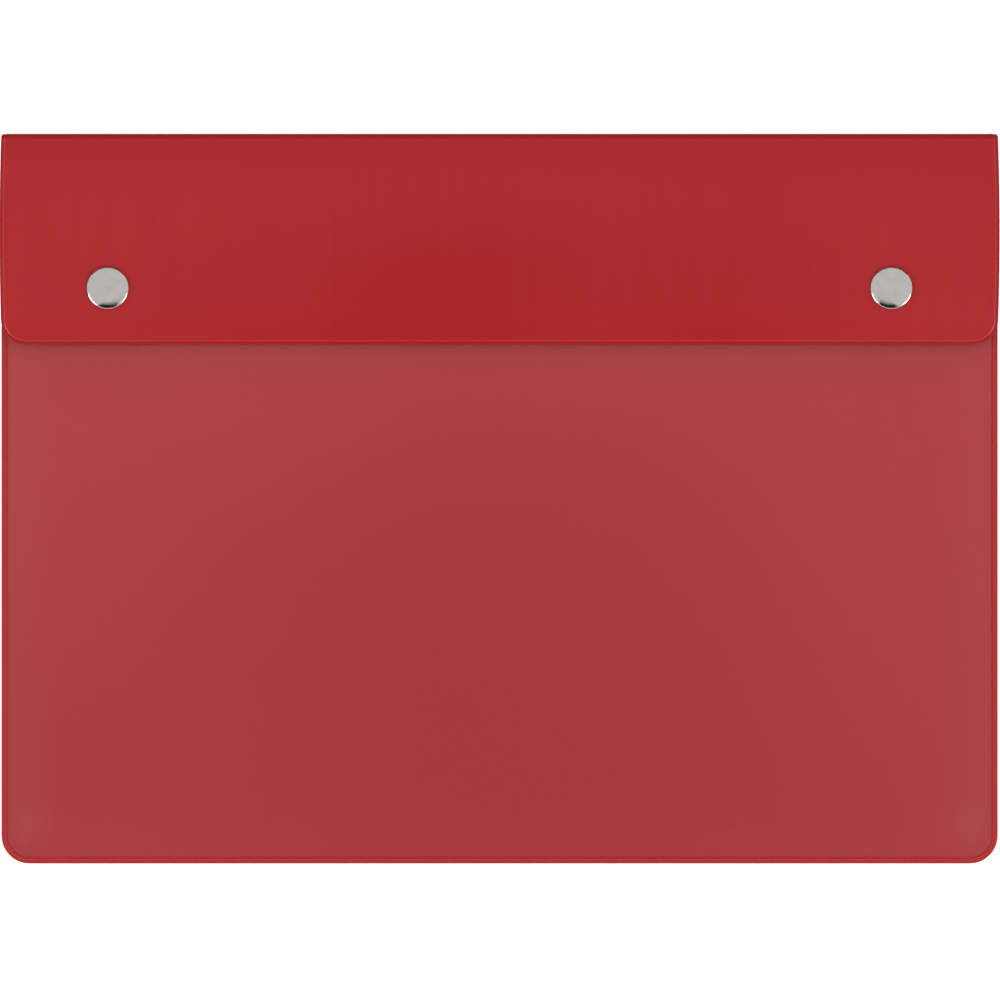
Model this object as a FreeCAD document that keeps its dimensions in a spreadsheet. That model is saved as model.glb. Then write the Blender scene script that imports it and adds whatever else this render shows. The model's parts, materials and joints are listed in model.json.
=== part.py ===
"""Flat vinyl portfolio case with a fold-over flap and two press studs. All sizes are in millimetres.

The case lies on its back. +X runs along its width, +Y towards the fold at its top edge, and +Z out of its
front. The origin is the centre of the case's footprint, on the surface that it lies on.

A back of two sheets (an outer cover and a lining) carries a front sheet that is welded to it along both sides
and the bottom, which makes the pocket. The cover and the lining run on over the top edge as a narrow spine
between two creases, and come down over the front as the flap. Each press stud has a cap and a socket on the
flap, and a stud and an eyelet on the pocket's front, where a strip inside the mouth backs them up.
"""

import FreeCAD
import Part
import Sketcher

import math
import os
import re

# ---------------------------------------------------------------- driving dimensions, millimetres

DIMENSIONS = {
    "case_width": 355.0,
    "case_height": 260.0,
    "corner_radius": 10.0,
    "weld_width": 2.0,
    # sheets
    "cover_gauge": 0.45,
    "lining_gauge": 0.30,
    "film_gauge": 0.35,
    "strip_gauge": 0.40,
    # pocket
    "pocket_gap": 5.2,
    "slope_run": 20.0,
    "front_corner_radius": 14.0,
    "mouth_setback": 28.0,
    "strip_margin": 4.0,
    # spine and flap
    "crease_inner_radius": 0.55,
    "spine_height": 7.2,
    "flap_depth": 75.0,
    "flap_corner_radius": 9.0,
    "flap_bow": 0.5,
    "flap_edge_drop": 0.9,
    "crease_gap": 0.05,
    # press studs
    "snap_side_inset": 38.0,
    "snap_edge_inset": 20.0,
    "level_margin": 0.5,
    "metal_gauge": 0.40,
    "mating_gap": 0.30,
    "post_clearance": 0.05,
    "post_radius": 1.5,
    "tube_wall": 0.30,
    "flare_width": 0.35,
    "cap_radius": 7.5,
    "cap_crown": 0.3,
    "cap_rounding": 0.6,
    "cap_gauge": 0.35,
    "cap_lip_gauge": 0.25,
    "cap_lip_width": 1.2,
    "plate_gauge": 0.35,
    "socket_radius": 6.4,
    "mouth_clearance": 0.5,
    "stud_radius": 5.5,
    "stud_neck_wall": 0.4,
    "stud_head_overhang": 0.7,
    "stud_head_height": 0.35,
    "stud_head_chamfer": 0.15,
    "head_clearance": 0.15,
    "eyelet_radius": 5.0,
    "wire_radius": 0.3,
    "wire_clearance": 0.25,
    "wire_lift": 0.15,
    "wire_travel": 0.5,
    "wire_end_clearance": 0.15,
}

# Sizes that follow from the driving ones. A name may use the names above it.
DERIVED = {
    "sheets": "cover_gauge + lining_gauge",
    "crease_radius": "sheets + crease_inner_radius",
    # levels above the table
    "lining_bottom": "cover_gauge",
    "lining_top": "sheets",
    "film_bottom": "lining_top + pocket_gap",
    "film_top": "film_bottom + film_gauge",
    "socket_bottom": "film_top + metal_gauge + mating_gap",
    "wire_level": "socket_bottom + metal_gauge + wire_lift + wire_radius",
    "head_bottom": "wire_level + wire_radius + post_clearance",
    "head_top": "head_bottom + stud_head_height",
    "flare_bottom": "head_top + head_clearance",
    "flare_top": "flare_bottom + tube_wall",
    "socket_top": "flare_top + metal_gauge",
    "flap_lining_top": "socket_top + lining_gauge",
    "flap_top": "flap_lining_top + cover_gauge",
    "upper_crease": "spine_height - crease_radius",
    # places across and along the case
    "half_width": "case_width / 2",
    "half_height": "case_height / 2",
    "crease_line": "half_height - crease_radius",
    "mouth_line": "half_height - mouth_setback",
    "flap_edge": "half_height - flap_depth",
    "snap_line": "flap_edge + snap_edge_inset",
    "snap_across": "half_width - snap_side_inset",
    "level_half": "cap_radius + level_margin",
    # press studs
    "hole_radius": "post_radius + post_clearance",
    "tube_bore": "post_radius - tube_wall",
    "flare_radius": "post_radius + flare_width",
    "neck_bore": "flare_radius + post_clearance",
    "neck_radius": "neck_bore + stud_neck_wall",
    "head_radius": "neck_radius + stud_head_overhang",
    "cap_height": "cap_lip_gauge + plate_gauge + post_clearance + cap_gauge + cap_crown",
    "socket_bore": "socket_radius - metal_gauge",
    "wire_offset": "neck_radius + wire_clearance + wire_radius",
    "wire_reach": "wire_offset + wire_travel + wire_radius",
    "wire_half": "sqrt(socket_bore ^ 2 - wire_reach ^ 2) - wire_end_clearance",
}


def spelled_out(formula):
    """The formula as an expression on the sheet's aliases, with each derived name written out."""
    pieces = re.split(r"([A-Za-z_]+)", formula)
    for i, word in enumerate(pieces):
        if word in DERIVED:
            pieces[i] = "(" + spelled_out(DERIVED[word]) + ")"
        elif word in DIMENSIONS:
            pieces[i] = "Sizes." + word
    return "".join(pieces)


document = FreeCAD.newDocument("portfolio_case")
sheet = document.addObject("Spreadsheet::Sheet", "Sizes")
for row, (name, value) in enumerate(DIMENSIONS.items(), start=1):
    sheet.set(f"A{row}", name)
    sheet.set(f"B{row}", str(value))
    sheet.setAlias(f"B{row}", name)
document.recompute()


def number(formula):
    """The value of a formula now, in millimetres."""
    value = sheet.evalExpression(spelled_out(formula))
    return float(getattr(value, "Value", value))


def bind(thing, prop, formula):
    """Ties a property of an object to the sheet."""
    thing.setExpression(prop, spelled_out(formula))


# ---------------------------------------------------------------- sketches and features

NODES = {}


def keep(thing, label):
    """Marks a document object as a sub-part of that name."""
    thing.Label = label
    NODES[label] = thing
    return thing


def new_body(label, x="0", y="0", z="0"):
    """A body whose own origin sits at x, y, z."""
    body = document.addObject("PartDesign::Body", label)
    body.Label = label
    for axis, formula in zip("xyz", (x, y, z)):
        bind(body, f"Placement.Base.{axis}", formula)
    return body


def arc_between(start, end, radius, turns_left):
    """The shorter arc of that radius from start to end. turns_left says which way it curves as it runs."""
    chord = end - start
    rise = math.sqrt(max(radius**2 - (chord.Length / 2) ** 2, 0.0))
    across = FreeCAD.Vector(-chord.y, chord.x, 0).normalize()
    centre = (start + end) / 2 + across * (rise if turns_left else -rise)
    first, last = (start, end) if turns_left else (end, start)
    angles = [math.atan2(p.y - centre.y, p.x - centre.x) for p in (first, last)]
    if angles[1] < angles[0]:
        angles[1] += 2 * math.pi
    circle = Part.Circle(centre, FreeCAD.Vector(0, 0, 1), radius)
    return Part.ArcOfCircle(circle, *angles)


def draw(body, plane, points, arcs=None, lift=None):
    """A closed sketch on one of the body's origin planes, with every corner and radius tied to the sheet.

    points holds each corner as a pair of formulas. arcs gives, for the side that starts at a corner, its
    radius and whether it turns left. lift moves the sketch off its plane.
    """
    arcs = arcs or {}
    sketch = body.newObject("Sketcher::SketchObject", f"{body.Name}_{plane}_sketch")
    origin_plane = next(f for f in body.Origin.OriginFeatures if f.Role == plane)
    sketch.AttachmentSupport = [(origin_plane, "")]
    sketch.MapMode = "FlatFace"
    if lift:
        bind(sketch, "AttachmentOffset.Base.z", lift)
    corners = [FreeCAD.Vector(number(x), number(y), 0) for x, y in points]
    count = len(points)
    ends = []
    for i, start in enumerate(corners):
        end = corners[(i + 1) % count]
        if i in arcs:
            radius, turns_left = arcs[i]
            side = sketch.addGeometry(arc_between(start, end, number(radius), turns_left))
            ends.append((side, 1, 2) if turns_left else (side, 2, 1))
        else:
            side = sketch.addGeometry(Part.LineSegment(start, end))
            ends.append((side, 1, 2))
    for i, (side, first, last) in enumerate(ends):
        after, after_first, _ = ends[(i + 1) % count]
        sketch.addConstraint(Sketcher.Constraint("Coincident", side, last, after, after_first))
        for axis, kind in enumerate(("DistanceX", "DistanceY")):
            value = corners[i][axis]
            place = sketch.addConstraint(Sketcher.Constraint(kind, -1, 1, side, first, value))
            bind(sketch, f"Constraints[{place}]", points[i][axis])
        if i in arcs:
            size = sketch.addConstraint(Sketcher.Constraint("Radius", side, number(arcs[i][0])))
            bind(sketch, f"Constraints[{size}]", arcs[i][0])
    return sketch


def draw_circle(body, plane, x, y, radius):
    """A sketch of one circle, tied to the sheet."""
    sketch = body.newObject("Sketcher::SketchObject", f"{body.Name}_{plane}_circle")
    origin_plane = next(f for f in body.Origin.OriginFeatures if f.Role == plane)
    sketch.AttachmentSupport = [(origin_plane, "")]
    sketch.MapMode = "FlatFace"
    centre = FreeCAD.Vector(number(x), number(y), 0)
    ring = sketch.addGeometry(Part.Circle(centre, FreeCAD.Vector(0, 0, 1), number(radius)))
    for kind, value, formula in (("DistanceX", centre.x, x), ("DistanceY", centre.y, y)):
        place = sketch.addConstraint(Sketcher.Constraint(kind, -1, 1, ring, 3, value))
        bind(sketch, f"Constraints[{place}]", formula)
    size = sketch.addConstraint(Sketcher.Constraint("Radius", ring, number(radius)))
    bind(sketch, f"Constraints[{size}]", radius)
    return sketch


def pad(body, sketch, length, symmetric=False):
    """Extrudes a sketch along its normal, or by half the length each way."""
    feature = body.newObject("PartDesign::Pad", f"{body.Name}_pad")
    feature.Profile = sketch
    if symmetric:
        feature.SideType = "Symmetric"
    bind(feature, "Length", length)
    document.recompute()
    return feature


def punch(body, sketch):
    """Cuts a sketch's shape through the whole body, both ways."""
    before = body.Shape.Volume
    feature = body.newObject("PartDesign::Pocket", f"{body.Name}_hole")
    feature.Profile = sketch
    feature.Type = "ThroughAll"
    feature.SideType = "Symmetric"
    document.recompute()
    if not body.Shape.Volume < before:
        raise RuntimeError(f"the hole in {body.Label} cut nothing")
    return feature


def revolve(body, sketch):
    """Turns a sketch full circle about its own vertical axis."""
    feature = body.newObject("PartDesign::Revolution", f"{body.Name}_turned")
    feature.Profile = sketch
    feature.ReferenceAxis = (sketch, ["V_Axis"])
    feature.Angle = 360.0
    document.recompute()
    return feature


def combine(kind, label, base, tool):
    """A boolean of two objects: Cut, Common or Fuse."""
    result = document.addObject(f"Part::{kind}", label)
    result.Base = base
    result.Tool = tool
    document.recompute()
    return result


SIDES = {"left": "-", "right": ""}


def make_snap_pegs():
    """Two long pegs at the press studs, which cut the holes for their tubes."""
    body = new_body("snap_pegs")
    for sign in SIDES.values():
        circle = draw_circle(body, "XY_Plane", f"{sign}snap_across", "snap_line", "hole_radius")
        pad(body, circle, "2 * flap_top")
    return body


snap_pegs = make_snap_pegs()


# ---------------------------------------------------------------- back of the case


def back_sheet(label, level, gauge):
    """A flat sheet of the back: square at the crease, with the bottom corners rounded."""
    body = new_body(label, z=level)
    left, right = "-half_width", "half_width"
    bottom, above = "-half_height", "-half_height + corner_radius"
    points = [
        (left, "crease_line"),
        (left, above),
        (f"{left} + corner_radius", bottom),
        (f"{right} - corner_radius", bottom),
        (right, above),
        (right, "crease_line"),
    ]
    arcs = {1: ("corner_radius", True), 3: ("corner_radius", True)}
    pad(body, draw(body, "XY_Plane", points, arcs), gauge)
    return keep(body, label)


back_sheet("back_cover", "0", "cover_gauge")
back_sheet("back_lining", "lining_bottom", "lining_gauge")


# ---------------------------------------------------------------- pocket front and its mouth strip

# A cutting block runs past the mouth, so that it never shares the face that it cuts through.
BEYOND_MOUTH = "(mouth_line + weld_width)"


def pocket_outline(inset, radius, mouth="mouth_line"):
    """Corners and arcs of the pocket's outline, moved in from the case's edge at the sides and the bottom."""
    across = f"(half_width - ({inset}))"
    low = f"(-half_height + ({inset}))"
    points = [
        (f"-{across}", mouth),
        (f"-{across}", f"{low} + {radius}"),
        (f"-{across} + {radius}", low),
        (f"{across} - {radius}", low),
        (across, f"{low} + {radius}"),
        (across, mouth),
    ]
    return points, {1: (radius, True), 3: (radius, True)}


def dome(label, drop, mouth="mouth_line"):
    """The raised field of the pocket's front as a solid block, lowered by drop: a low frustum."""
    body = new_body(label, z=f"lining_top - ({drop})")
    foot = draw(body, "XY_Plane", *pocket_outline("weld_width", "(corner_radius - weld_width)", mouth))
    points, arcs = pocket_outline("weld_width + slope_run", "front_corner_radius", mouth)
    crown = draw(body, "XY_Plane", points, arcs, lift="pocket_gap + film_gauge")
    loft = body.newObject("PartDesign::AdditiveLoft", f"{body.Name}_loft")
    loft.Profile = foot
    loft.Sections = [crown]
    loft.Ruled = True
    document.recompute()
    return body


def pocket_front():
    """The front sheet: a flat weld margin round three sides, and a raised field that is open at the mouth."""
    margin = new_body("front_margin", z="lining_top")
    pad(margin, draw(margin, "XY_Plane", *pocket_outline("0", "corner_radius")), "film_gauge")
    solid = combine("Fuse", "front_solid", margin, dome("front_outside", "0"))
    shell = combine("Cut", "front_shell", solid, dome("front_inside", "film_gauge", BEYOND_MOUTH))
    return keep(combine("Cut", "pocket_front", shell, snap_pegs), "pocket_front")


def mouth_strip():
    """The strip welded under the front's level field at the mouth, which backs up the press studs."""
    body = new_body("mouth_strip", z="film_bottom - strip_gauge")
    across = "(half_width - weld_width - slope_run)"
    low = "snap_line - eyelet_radius - strip_margin"
    points = [(f"-{across}", low), (across, low), (across, "mouth_line"), (f"-{across}", "mouth_line")]
    pad(body, draw(body, "XY_Plane", points), "strip_gauge")
    for sign in SIDES.values():
        punch(body, draw_circle(body, "XY_Plane", f"{sign}snap_across", "snap_line", "hole_radius"))
    return keep(body, "mouth_strip")


pocket_front()
mouth_strip()


# ---------------------------------------------------------------- spine and creases


def spine_sheet(label, depth_in, gauge):
    """An upright strip between the creases. depth_in is how far its outer face lies inside the top edge."""
    outer = f"half_height - ({depth_in})"
    body = new_body(label, x="-half_width", y=f"{outer} - {gauge}", z="crease_radius + crease_gap")
    points = [("0", "0"), ("case_width", "0"), ("case_width", gauge), ("0", gauge)]
    pad(body, draw(body, "XY_Plane", points), "spine_height - 2 * (crease_radius + crease_gap)")
    return keep(body, label)


def crease_web(label, axis_level, depth_in, gauge, upper):
    """The quarter-round bend that joins two flat stretches of a sheet, about the crease's own axis."""
    body = new_body(label, x="-half_width", y="crease_line", z=axis_level)
    outer = f"(crease_radius - ({depth_in}))"
    inner = f"({outer} - {gauge})"
    sign = "" if upper else "-"
    points = [(inner, "0"), (outer, "0"), ("0", f"{sign}{outer}"), ("0", f"{sign}{inner}")]
    arcs = {1: (outer, upper), 3: (inner, not upper)}
    pad(body, draw(body, "YZ_Plane", points, arcs), "case_width")
    return keep(body, label)


spine_sheet("spine_cover", "0", "cover_gauge")
spine_sheet("spine_lining", "cover_gauge", "lining_gauge")
for place, level in (("lower", "crease_radius"), ("upper", "upper_crease")):
    crease_web(f"{place}_crease_cover", level, "0", "cover_gauge", place == "upper")
    crease_web(f"{place}_crease_lining", level, "cover_gauge", "lining_gauge", place == "upper")


# ---------------------------------------------------------------- flap


def flap_blank():
    """A thick block with the flap's outline: bowed sides and rounded corners at the free edge."""
    body = new_body("flap_blank")
    side_run = "(crease_line - crease_gap - flap_edge - flap_corner_radius)"
    side_radius = f"({side_run} ^ 2 / (8 * flap_bow) + flap_bow / 2)"
    top, above = "crease_line - crease_gap", "flap_edge + flap_corner_radius"
    points = [
        ("-half_width", top),
        ("-half_width", above),
        ("-half_width + flap_corner_radius", "flap_edge"),
        ("half_width - flap_corner_radius", "flap_edge"),
        ("half_width", above),
        ("half_width", top),
    ]
    corner = ("flap_corner_radius", True)
    arcs = {0: (side_radius, True), 1: corner, 3: corner, 4: (side_radius, True)}
    pad(body, draw(body, "XY_Plane", points, arcs), "2 * flap_top")
    return body


def flap_run(label, top_at_snap, top_at_crease, gauge):
    """A sheet of the flap in side view, run across the case.

    From the crease it rises in an arc to the level stretch at the press studs, then bends down to the free
    edge.
    """
    body = new_body(label)
    rise_run = "(crease_line - snap_line - level_half)"
    fall_run = "(snap_edge_inset - level_half)"
    rise = f"(({top_at_snap}) - ({top_at_crease}))"
    crest_in, crest_out = "snap_line + level_half", "snap_line - level_half"

    def arc(run, drop):
        """Radius of an arc that is level at one end and drops by drop over run."""
        return f"(({run} ^ 2 + {drop} ^ 2) / (2 * {drop}))"

    upper = [
        ("crease_line", top_at_crease),
        (crest_in, top_at_snap),
        (crest_out, top_at_snap),
        ("flap_edge", f"{top_at_snap} - flap_edge_drop"),
    ]
    lower = [(y, f"{z} - {gauge}") for y, z in reversed(upper)]
    rising, falling = arc(rise_run, rise), arc(fall_run, "flap_edge_drop")
    arcs = {0: (rising, True), 2: (falling, True), 4: (falling, False), 6: (rising, False)}
    pad(body, draw(body, "YZ_Plane", upper + lower, arcs), "2 * case_width", symmetric=True)
    return body


def flap_sheet(label, top_at_snap, top_at_crease, gauge, blank):
    """One sheet of the flap, cut to the outline and punched for the press studs."""
    run = flap_run(f"{label}_run", top_at_snap, top_at_crease, gauge)
    cut = combine("Common", f"{label}_cut", run, blank)
    return keep(combine("Cut", label, cut, snap_pegs), label)


blank = flap_blank()
flap_sheet("flap_cover", "flap_top", "spine_height", "cover_gauge", blank)
flap_sheet("flap_lining", "flap_lining_top", "(spine_height - cover_gauge)", "lining_gauge", blank)


# ---------------------------------------------------------------- press studs


def turned(label, side, level, points, arcs=None):
    """A turned metal piece on a press stud's axis. points are radius and height above level."""
    body = new_body(label, x=f"{SIDES[side]}snap_across", y="snap_line", z=level)
    revolve(body, draw(body, "XZ_Plane", points, arcs))
    return keep(body, label)


def cap_shell(side):
    """The bright cap: a shallow crown, a rounded rim, and a lip turned in under the post's plate."""
    shoulder = "cap_radius - cap_rounding"
    crown_foot = "cap_height - cap_crown"
    inner_rounding = "(cap_rounding - cap_gauge)"
    crown = f"((({shoulder}) ^ 2 + cap_crown ^ 2) / (2 * cap_crown))"
    points = [
        ("0", "cap_height"),
        ("0", "cap_height - cap_gauge"),
        (shoulder, f"{crown_foot} - cap_gauge"),
        (f"{shoulder} + {inner_rounding}", f"{crown_foot} - cap_rounding"),
        (f"{shoulder} + {inner_rounding}", "cap_lip_gauge"),
        ("cap_radius - cap_lip_width", "cap_lip_gauge"),
        ("cap_radius - cap_lip_width", "0"),
        ("cap_radius - cap_lip_gauge", "0"),
        ("cap_radius", "cap_lip_gauge"),
        ("cap_radius", f"{crown_foot} - cap_rounding"),
        (shoulder, crown_foot),
    ]
    arcs = {
        1: (crown, False),
        2: (inner_rounding, False),
        7: ("cap_lip_gauge", True),
        9: ("cap_rounding", True),
        10: (crown, True),
    }
    return turned(f"cap_shell_{side}", side, "flap_top", points, arcs)


def cap_post(side):
    """The plate inside the cap, with the tube that goes through flap and socket and is flared below."""
    plate_bottom = "flap_top + cap_lip_gauge"
    plate_top = f"{plate_bottom} + plate_gauge"
    plate_radius = "cap_radius - cap_rounding"
    points = [
        ("tube_bore", "flare_bottom"),
        ("flare_radius", "flare_bottom"),
        ("flare_radius", "flare_top"),
        ("post_radius", "flare_top"),
        ("post_radius", plate_bottom),
        (plate_radius, plate_bottom),
        (plate_radius, plate_top),
        ("0", plate_top),
        ("0", plate_bottom),
        ("tube_bore", plate_bottom),
    ]
    return turned(f"cap_post_{side}", side, "0", points)


def socket(side):
    """The female half: a low box of revolution, open below at its mouth, that holds the two wires."""
    mouth = "head_radius + mouth_clearance"
    points = [
        ("hole_radius", "socket_top"),
        ("hole_radius", "flare_top"),
        ("socket_bore", "flare_top"),
        ("socket_bore", "socket_bottom + metal_gauge"),
        (mouth, "socket_bottom + metal_gauge"),
        (mouth, "socket_bottom"),
        ("socket_bore", "socket_bottom"),
        ("socket_radius", "socket_bottom + metal_gauge"),
        ("socket_radius", "socket_top"),
    ]
    return turned(f"socket_{side}", side, "0", points, {6: ("metal_gauge", True)})


def stud(side):
    """The male half: a round floor, a hollow neck, and a head that the wires close under."""
    floor = "film_top + metal_gauge"
    points = [
        ("hole_radius", "film_top"),
        ("stud_radius", "film_top"),
        ("stud_radius", floor),
        ("neck_radius", floor),
        ("neck_radius", "head_bottom"),
        ("head_radius", "head_bottom + stud_head_chamfer"),
        ("head_radius - stud_head_chamfer", "head_top"),
        ("neck_bore", "head_top"),
        ("neck_bore", floor),
        ("hole_radius", floor),
    ]
    return turned(f"stud_{side}", side, "0", points)


def stud_eyelet(side):
    """The flanged tube behind the stud, flared over the stud's floor inside its neck."""
    under = "film_bottom - strip_gauge"
    floor = "film_top + metal_gauge"
    points = [
        ("tube_bore", f"{under} - metal_gauge"),
        ("eyelet_radius", f"{under} - metal_gauge"),
        ("eyelet_radius", under),
        ("post_radius", under),
        ("post_radius", floor),
        ("flare_radius", floor),
        ("flare_radius", f"{floor} + tube_wall"),
        ("tube_bore", f"{floor} + tube_wall"),
    ]
    return turned(f"stud_eyelet_{side}", side, "0", points)


def spring_wire(side, place, sign):
    """One of the socket's two straight wires, which grip the stud's neck from either side."""
    body = new_body(
        f"spring_wire_{side}_{place}",
        x=f"{SIDES[side]}snap_across",
        y=f"snap_line {sign} wire_offset",
        z="wire_level",
    )
    pad(body, draw_circle(body, "YZ_Plane", "0", "0", "wire_radius"), "2 * wire_half", symmetric=True)
    return keep(body, body.Label)


for side in SIDES:
    cap_shell(side)
    cap_post(side)
    socket(side)
    stud(side)
    stud_eyelet(side)
    spring_wire(side, "upper", "+")
    spring_wire(side, "lower", "-")


# ---------------------------------------------------------------- checks and export

document.recompute()
for thing in document.Objects:
    if {"Invalid", "Error"} & set(thing.State):
        raise RuntimeError(f"{thing.Label} did not compute: {thing.State}")
for label, thing in NODES.items():
    shape = thing.Shape
    if shape.isNull() or not shape.isValid() or not shape.Solids:
        raise RuntimeError(f"{label} has no valid solid")

os.makedirs("parts", exist_ok=True)
for label, thing in NODES.items():
    thing.Shape.exportStep(os.path.join("parts", f"{label}.step"))
    bounds = thing.Shape.BoundBox
    print(
        f"{label:24s} {len(thing.Shape.Solids)} solid(s) {thing.Shape.Volume:10.2f} mm3"
        f"  {bounds.XLength:7.2f} x {bounds.YLength:7.2f} x {bounds.ZLength:6.2f}"
        f"  z {bounds.ZMin:6.2f} to {bounds.ZMax:6.2f}"
    )
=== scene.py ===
# %% [markdown]
# # A vinyl portfolio case, dressed with its sheets and finishes
# The case is a flat envelope: an outer and an inner sheet of vinyl, welded together round the edge,
# folded over at the top into a flap, with a hazy front film that makes the pocket and two press studs
# that close it. The engineering model gives the main sizes and every pivot. This notebook lays smooth
# sheets, turned caps and finishes over it. Lengths are in metres unless a name says mm, and angles are in
# radians.

import json
import math

import bmesh
import bpy
import numpy as np
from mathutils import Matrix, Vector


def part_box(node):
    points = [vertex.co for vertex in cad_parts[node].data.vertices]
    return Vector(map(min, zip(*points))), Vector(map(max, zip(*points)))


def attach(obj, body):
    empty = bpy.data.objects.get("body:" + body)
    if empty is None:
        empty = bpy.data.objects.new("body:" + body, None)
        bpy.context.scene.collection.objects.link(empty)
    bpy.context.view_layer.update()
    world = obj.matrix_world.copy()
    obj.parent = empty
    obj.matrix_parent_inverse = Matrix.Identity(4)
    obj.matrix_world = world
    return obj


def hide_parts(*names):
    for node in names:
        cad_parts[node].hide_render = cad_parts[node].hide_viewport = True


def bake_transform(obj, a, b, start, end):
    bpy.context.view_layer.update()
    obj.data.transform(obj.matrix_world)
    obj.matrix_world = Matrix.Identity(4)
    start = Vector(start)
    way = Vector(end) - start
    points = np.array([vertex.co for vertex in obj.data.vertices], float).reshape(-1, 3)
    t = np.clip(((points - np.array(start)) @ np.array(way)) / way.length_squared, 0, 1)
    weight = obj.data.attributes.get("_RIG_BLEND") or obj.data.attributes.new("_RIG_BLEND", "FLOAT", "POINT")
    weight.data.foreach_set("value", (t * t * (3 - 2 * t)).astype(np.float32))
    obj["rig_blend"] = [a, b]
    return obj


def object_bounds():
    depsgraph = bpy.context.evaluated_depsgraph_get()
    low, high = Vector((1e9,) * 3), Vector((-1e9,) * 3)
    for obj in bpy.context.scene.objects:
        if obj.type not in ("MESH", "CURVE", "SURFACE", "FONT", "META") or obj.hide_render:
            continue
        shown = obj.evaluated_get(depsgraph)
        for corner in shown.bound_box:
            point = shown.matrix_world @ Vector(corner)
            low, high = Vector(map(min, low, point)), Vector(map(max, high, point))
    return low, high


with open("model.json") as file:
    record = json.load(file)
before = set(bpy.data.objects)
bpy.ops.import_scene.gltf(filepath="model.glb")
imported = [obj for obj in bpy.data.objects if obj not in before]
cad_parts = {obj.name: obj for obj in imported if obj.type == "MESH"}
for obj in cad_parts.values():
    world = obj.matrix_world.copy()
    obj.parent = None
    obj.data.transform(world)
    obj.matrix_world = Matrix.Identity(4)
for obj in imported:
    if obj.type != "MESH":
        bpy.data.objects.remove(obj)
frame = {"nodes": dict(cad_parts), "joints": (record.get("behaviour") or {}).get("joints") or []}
cad_low, cad_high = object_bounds()

# %% [markdown]
# ## Sizes that come from the frame
# The sheets have to land on the same planes and turn about the same creases as the engineering model, so
# each size is read from a node's box or from a joint. Only what a box can't say, such as the width of a
# weld, is written here as a value of its own.

# %% Read the sizes
MM = 0.001
back_low, back_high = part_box("back_cover")
flap_low, flap_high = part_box("flap_cover")
film_low, film_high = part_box("pocket_front")
strip_low, strip_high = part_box("mouth_strip")
lining_low, lining_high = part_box("back_lining")
joint_at = {joint["name"]: joint.get("pos_m") for joint in frame["joints"]}

half_width = back_high.x
cover_gauge = back_high.z - back_low.z
lining_gauge = lining_high.z - lining_low.z
crease_y = joint_at["spine_fold"][1]
crease_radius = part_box("spine_cover")[1].y - crease_y
spine_height = joint_at["flap_fold"][2] - joint_at["spine_fold"][2]
film_gauge = film_high.z - strip_high.z
stud_places = [tuple((a + b) / 2 for a, b in zip(*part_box(f"cap_shell_{side}"))) for side in ("left", "right")]
stud_row_y = stud_places[0][1]

back_corner = 10 * MM
flap_corner = 9 * MM
stud_seat = 8 * MM
free_edge_drop = 1.5 * MM
weld_width = 2 * MM
pillow_width = 20 * MM
rivet_hole = 1.55 * MM
skin_gap = 0.02 * MM
print(f"case {2000 * half_width:.1f} mm wide, creases {1000 * spine_height:.1f} mm apart,"
      f" film {1000 * film_gauge:.2f} mm thick")

# %% [markdown]
# ## The path that a sheet follows
# Seen from the side, the outer sheet runs along the back, turns up at the lower crease, climbs the spine,
# turns over at the upper crease, swells up to the level seat of the studs and dips to its free edge. Such
# a line is easiest to give as a turtle walk: a list of runs, each with a length and the angle it turns
# through. A run that doesn't turn is straight and one that does is an arc, so every bend is smooth by
# construction. The alternative, a spline through picked points, would wander off the flat back.


# %% Walk the path
def arc_to(run, rise):
    """The angle and length of an arc that covers run along and rise up, and ends level: tan(angle / 2) is
    rise / run, and the radius is run / sin(angle)."""
    angle = 2 * math.atan(rise / run)
    return angle, run / math.sin(angle) * angle


valley_run = 0.25 * MM
swell_rise = flap_high.z - (joint_at["flap_fold"][2] + crease_radius)
swell_turn, swell_length = arc_to(crease_y - valley_run - stud_row_y - stud_seat, swell_rise)
dip_turn, dip_length = arc_to(stud_row_y - stud_seat - flap_low.y, free_edge_drop)
quarter = math.pi / 2 * crease_radius

RUNS = [
    ("back", crease_y - back_low.y, 0.0),
    ("lower crease", quarter, math.pi / 2),
    ("spine", spine_height, 0.0),
    ("upper crease", quarter, math.pi / 2),
    ("valley", valley_run, -swell_turn),
    ("swell", swell_length, swell_turn),
    ("stud seat", 2 * stud_seat, 0.0),
    ("dip", dip_length, dip_turn),
]
run_ends = np.cumsum([length for _, length, _ in RUNS])
sheet_length = run_ends[-1]
cut_at = run_ends[1] + spine_height / 2


def walk(v):
    """Place and outward normal (y, z, normal y, normal z) at the distance v along the outer face. Inside a
    run of curvature k the heading is h0 + k s, and the place is the integral of its (cos, sin)."""
    y, z, normal_y, normal_z = (np.zeros_like(v) for _ in range(4))
    at_y, at_z, heading, begun = back_low.y, back_low.z, 0.0, 0.0
    for number, (_, length, turn) in enumerate(RUNS):
        here = (v >= begun - 1e-9) if number else np.ones(v.shape, bool)
        s = v[here] - begun
        bend = turn / length
        h = heading + bend * s
        if turn:
            y[here] = at_y + (np.sin(h) - math.sin(heading)) / bend
            z[here] = at_z - (np.cos(h) - math.cos(heading)) / bend
            at_y += (math.sin(heading + turn) - math.sin(heading)) / bend
            at_z -= (math.cos(heading + turn) - math.cos(heading)) / bend
        else:
            y[here] = at_y + s * math.cos(heading)
            z[here] = at_z + s * math.sin(heading)
            at_y += length * math.cos(heading)
            at_z += length * math.sin(heading)
        normal_y[here], normal_z[here] = np.sin(h), -np.cos(h)
        heading += turn
        begun += length
    return y, z, normal_y, normal_z


free_edge = walk(np.array([sheet_length]))
print(f"sheet {1000 * sheet_length:.1f} mm long when flat, free edge at y {1000 * free_edge[0][0]:.2f} mm,"
      f" z {1000 * free_edge[1][0]:.2f} mm")

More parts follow.
